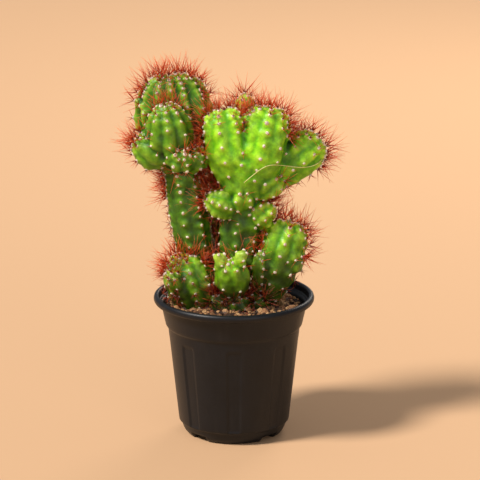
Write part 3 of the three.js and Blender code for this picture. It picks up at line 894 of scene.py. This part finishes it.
def crushed_stone():
    """Crushed pumice, lava and quartz: matt, pitted, each crumb its own tan, rust or grey."""
    material, shader = blank("crushed pumice and lava grit")
    tone = add(material, "Attribute", attribute_name="tone")
    parts = add(material, "SeparateColor", {"Color": tone.outputs["Color"]})
    kind = add(material, "ValToRGB", {"Fac": parts.outputs[1]},
               stops=[(0.0, "#20140d"), (0.25, "#4a2f1d"), (0.45, "#7a5233"), (0.65, "#a5784c"),
                      (0.84, "#c79d6c"), (0.93, "#7a3f22"), (1.0, "#7c7368")])
    place = add(material, "TexCoord").outputs["Object"]
    pits = add(material, "TexNoise", {"Vector": place, "Scale": 1300.0, "Detail": 4.0})
    shade = add(material, "MapRange", {"Value": pits.outputs["Fac"], "To Min": 0.65, "To Max": 1.25})
    mixed = add(material, "Mix", {"Factor": 1.0, 6: kind.outputs["Color"], 7: shade.outputs[0]},
                data_type="RGBA", blend_type="MULTIPLY")
    link(material, mixed.outputs[2], shader.inputs["Base Color"])
    bump = add(material, "Bump", {"Height": pits.outputs["Fac"], "Strength": 0.8, "Distance": 0.0008})
    link(material, bump.outputs[0], shader.inputs["Normal"])
    shader.inputs["Roughness"].default_value = 0.9
    return material


def crumb(subdivisions, seed, rough):
    """A broken stone about one in radius, with flattened sides."""
    bm = bmesh.new()
    bmesh.ops.create_icosphere(bm, subdivisions=subdivisions, radius=1)
    for v in bm.verts:
        unit = v.co.normalized()
        v.co = unit * (1 + rough * noise.noise(unit * 1.7 + Vector((seed, 0, 0)))
                       + 0.3 * rough * noise.noise(unit * 5 + Vector((0, seed, 0))))
    for k in range(STONE_SIDES):
        face = Vector((math.sin(seed * 7 + 2.4 * k), math.cos(seed * 5 + 2.4 * k), math.sin(3.1 * k + seed)))
        face.normalize()
        for v in bm.verts:
            above = v.co.dot(face) - STONE_CUT
            if above > 0:
                v.co -= face * above * STONE_FLATNESS
    bm.verts.index_update()
    return bm


GRIT = crushed_stone()
draws = random.Random(5)
for batch in range(GRAIN_BATCHES):
    starts, axes, tones = [], [], []
    while len(starts) < GRAINS / GRAIN_BATCHES:
        r = SOIL_RADIUS * math.sqrt(draws.random())
        turn = draws.uniform(0, math.tau)
        x, y = r * math.cos(turn), r * math.sin(turn)
        size = draws.uniform(*GRAIN_SIZES) * (BIG_GRAIN if draws.random() < BIG_GRAIN_SHARE else 1)
        at = Vector((x, y, soil_height(x, y) + 0.35 * size))
        nearest = whole.find_nearest(at)
        inside = (at - nearest[0]).dot(nearest[1]) < 0
        if r + size > SOIL_RADIUS or (inside and nearest[3] > 0.6 * size) or nearest[3] < 0.3 * size:
            continue
        up = np.array([draws.gauss(0, 0.3), draws.gauss(0, 0.3), 1.0])
        up /= np.linalg.norm(up)
        u, v = turned(up, draws)
        starts.append(np.array(at))
        axes.append([u * size * draws.uniform(0.9, 1.4), v * size, up * size * draws.uniform(0.6, 0.9)])
        tones.append((draws.random() ** 0.9, draws.random()))
    grain = crumb(1, 1.3 + batch, 0.5)
    mesh = copies(grain, np.array(starts), np.array(axes), np.array(tones))
    grain.free()
    bm = bmesh.new()
    bm.from_mesh(mesh)
    bpy.data.meshes.remove(mesh)
    grit = piece(f"grit_{batch + 1}", bm, GRIT, "gritty_soil", "soil_mix")
    grit.data.shade_flat()

stones = [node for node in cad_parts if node.startswith("gravel_stone")]
for k, node in enumerate(sorted(stones)):
    low, high = (Vector(corner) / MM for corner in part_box(node))
    middle, half = (low + high) / 2, (high - low) / 2
    bm = crumb(3, 2.0 + 0.7 * k, 0.35)
    bmesh.ops.scale(bm, vec=half * 1.05, verts=bm.verts)
    bmesh.ops.translate(bm, vec=middle - Vector((0, 0, 0.5)), verts=bm.verts)
    stone = piece(f"pumice_stone_{k + 1}", bm, GRIT, "pumice", node)
    tone = stone.data.attributes.new("tone", "FLOAT_COLOR", "POINT")
    own = (0.5, 0.52 + 0.3 * ((k * 0.618) % 1), 0.5, 1)
    tone.data.foreach_set("color", own * len(stone.data.vertices))


# ---- Stage ----------------------------------------------------------------------------
# A plain pale floor, a soft key light from the upper left, a weak fill from the right and
# behind, and a long lens a little above the rim.

VIEW_DISTANCE = 2.0
VIEW_RISE = math.radians(15.5)
VIEW_WIDTH = 0.3254
VIEW_CENTRE = Vector((0.0041, 0, 0.1352))
LAMP_AIM = Vector((0, 0, 0.13))

camera_data = bpy.data.cameras.new("camera")
camera_data.angle = 2 * math.atan(VIEW_WIDTH / 2 / VIEW_DISTANCE)
camera_data.clip_end = 20
camera = bpy.data.objects.new("camera", camera_data)
camera.location = VIEW_CENTRE + VIEW_DISTANCE * Vector((0, -math.cos(VIEW_RISE), math.sin(VIEW_RISE)))
camera.rotation_euler = (math.pi / 2 - VIEW_RISE, 0, 0)
bpy.context.scene.collection.objects.link(camera)
bpy.context.scene.camera = camera

floor_mesh = bmesh.new()
bmesh.ops.create_grid(floor_mesh, x_segments=1, y_segments=1, size=12)
floor_data = bpy.data.meshes.new("floor")
floor_mesh.to_mesh(floor_data)
floor_mesh.free()
floor = bpy.data.objects.new("floor", floor_data)
bpy.context.scene.collection.objects.link(floor)
paper, paper_shader = blank("warm white paper")
paper_shader.inputs["Base Color"].default_value = linear("#cfa67e")
paper_shader.inputs["Roughness"].default_value = 0.9
floor_data.materials.append(paper)


def lamp(name, place, size, power, colour):
    """A square area lamp that faces the plant."""
    data = bpy.data.lights.new(name, "AREA")
    data.size = size
    data.energy = power
    data.color = linear(colour)[:3]
    made = bpy.data.objects.new(name, data)
    made.location = place
    made.rotation_euler = (LAMP_AIM - Vector(place)).to_track_quat("-Z", "Y").to_euler()
    bpy.context.scene.collection.objects.link(made)


sun = bpy.data.lights.new("key", "SUN")
sun.energy = 4.1
sun.angle = math.radians(13)
sun.color = linear("#fffaf4")[:3]
key = bpy.data.objects.new("key", sun)
key.rotation_euler = Vector((0.9, 0.45, -1.1)).to_track_quat("-Z", "Y").to_euler()
bpy.context.scene.collection.objects.link(key)
lamp("fill", (0.7, -1.5, 0.7), 1.0, 5, "#fffaf6")
lamp("back", (0.5, 1.2, 0.9), 0.6, 6, "#fff2e4")
world = bpy.data.worlds.new("studio")
world.use_nodes = True
world.node_tree.nodes["Background"].inputs[0].default_value = linear("#e8edf6")
world.node_tree.nodes["Background"].inputs[1].default_value = 0.33
bpy.context.scene.world = world
bpy.context.scene.view_settings.view_transform = "Standard"
